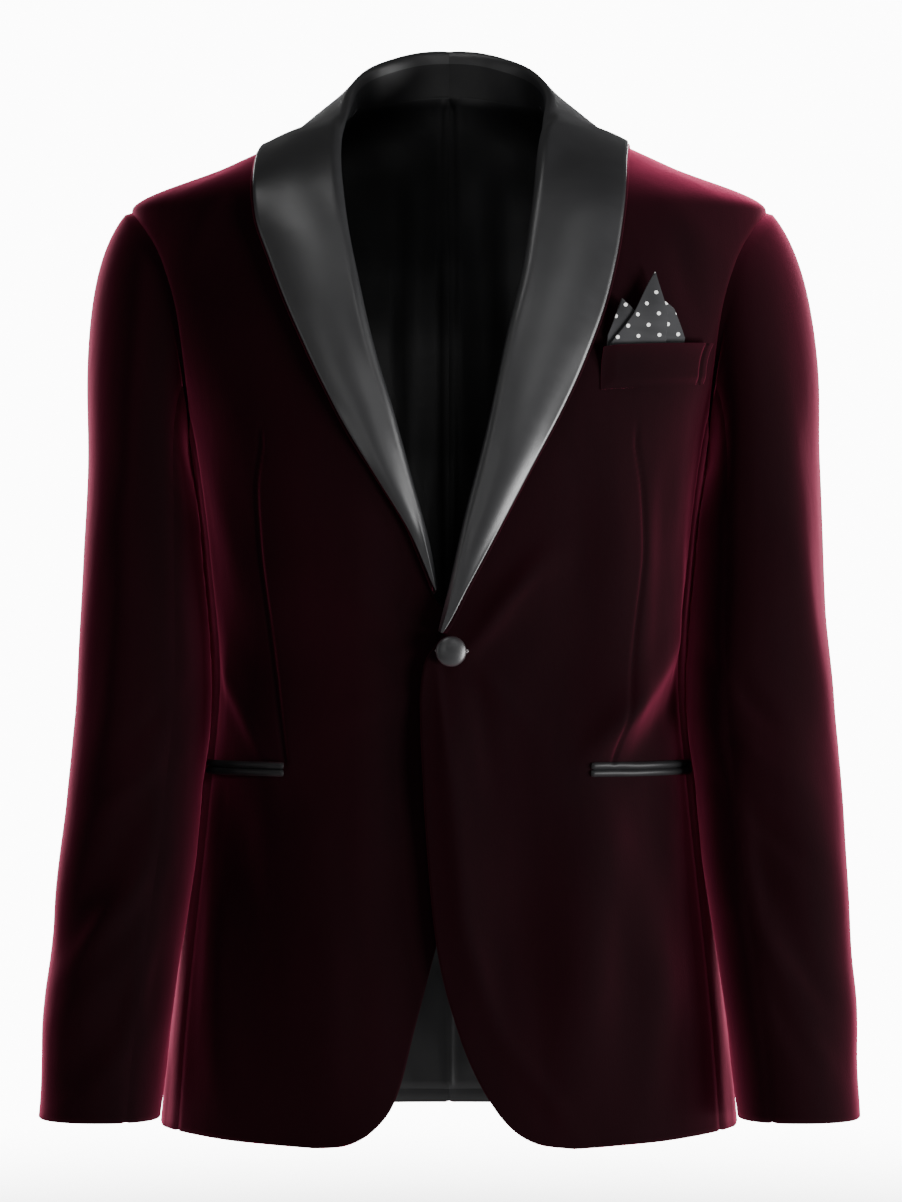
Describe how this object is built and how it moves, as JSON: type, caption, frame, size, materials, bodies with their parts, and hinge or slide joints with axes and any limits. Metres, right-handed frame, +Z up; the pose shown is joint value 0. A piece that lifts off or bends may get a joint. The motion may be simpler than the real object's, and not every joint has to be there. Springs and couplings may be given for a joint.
{
  "type": "shawl-collar tuxedo jacket",
  "caption": "Velvet tuxedo jacket with a satin shawl collar, one covered button, jetted hip pockets and a breast welt with a dotted pocket square, open and hollow as worn.",
  "frame": {"origin": "between the neck ends of the two shoulder seams, where the jacket hangs on the shoulders", "axes": "+Z up, the wearer faces -Y, and the wearer's left is +X"},
  "size_m": [0.572, 0.2737, 0.7752],
  "materials": {
    "velvet": "deep burgundy velvet",
    "satin": "black satin with a soft sheen",
    "lining": "smooth black lining",
    "dotted_cotton": "matt black with white pin dots"
  },
  "bodies": {
    "root": {"back_left": "velvet", "back_right": "velvet", "breast_welt": "velvet", "button": "satin", "collar_left": "satin", "collar_right": "satin", "front_left": "velvet", "front_right": "velvet", "hip_jet_lower_left": "satin", "hip_jet_lower_right": "satin", "hip_jet_upper_left": "satin", "hip_jet_upper_right": "satin", "lining_left": "lining", "lining_right": "lining", "pocket_square_back": "dotted_cotton", "pocket_square_front": "dotted_cotton", "side_left": "velvet", "side_right": "velvet", "top_sleeve_left": "velvet", "top_sleeve_right": "velvet", "under_sleeve_left": "velvet", "under_sleeve_right": "velvet", "undercollar_left": "velvet", "undercollar_right": "velvet"}
  },
  "joints": []
}
